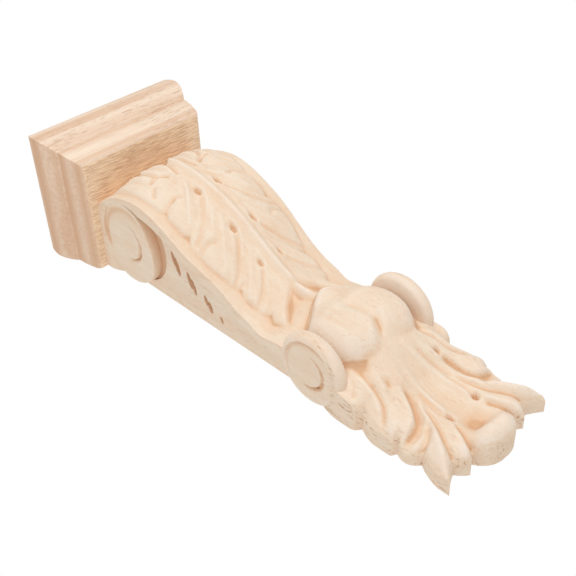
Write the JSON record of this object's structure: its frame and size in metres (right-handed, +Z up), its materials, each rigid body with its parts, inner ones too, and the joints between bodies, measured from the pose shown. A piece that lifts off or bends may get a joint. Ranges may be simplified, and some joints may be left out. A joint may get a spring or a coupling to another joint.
{
  "type": "wooden corbel",
  "caption": "Carved wooden corbel: scroll bracket with an acanthus leaf down its front and volutes at its sides, under a moulded square cap, for fixing flat to a wall or a cabinet.",
  "frame": {"origin": "middle of the flat back that goes against the wall, halfway up the corbel", "axes": "+Z up towards the cap, +Y into the wall, so the carved front faces -Y, and +X to the right of someone facing the front"},
  "size_m": [0.0844, 0.0654, 0.2504],
  "materials": {
    "cap_wood": "bare wood, planed and sanded, grain across the width",
    "scroll_wood": "bare wood, carved and lightly sanded, grain along the length"
  },
  "bodies": {
    "root": {"cap_block": "cap_wood", "carved_scroll": "scroll_wood"}
  },
  "joints": []
}
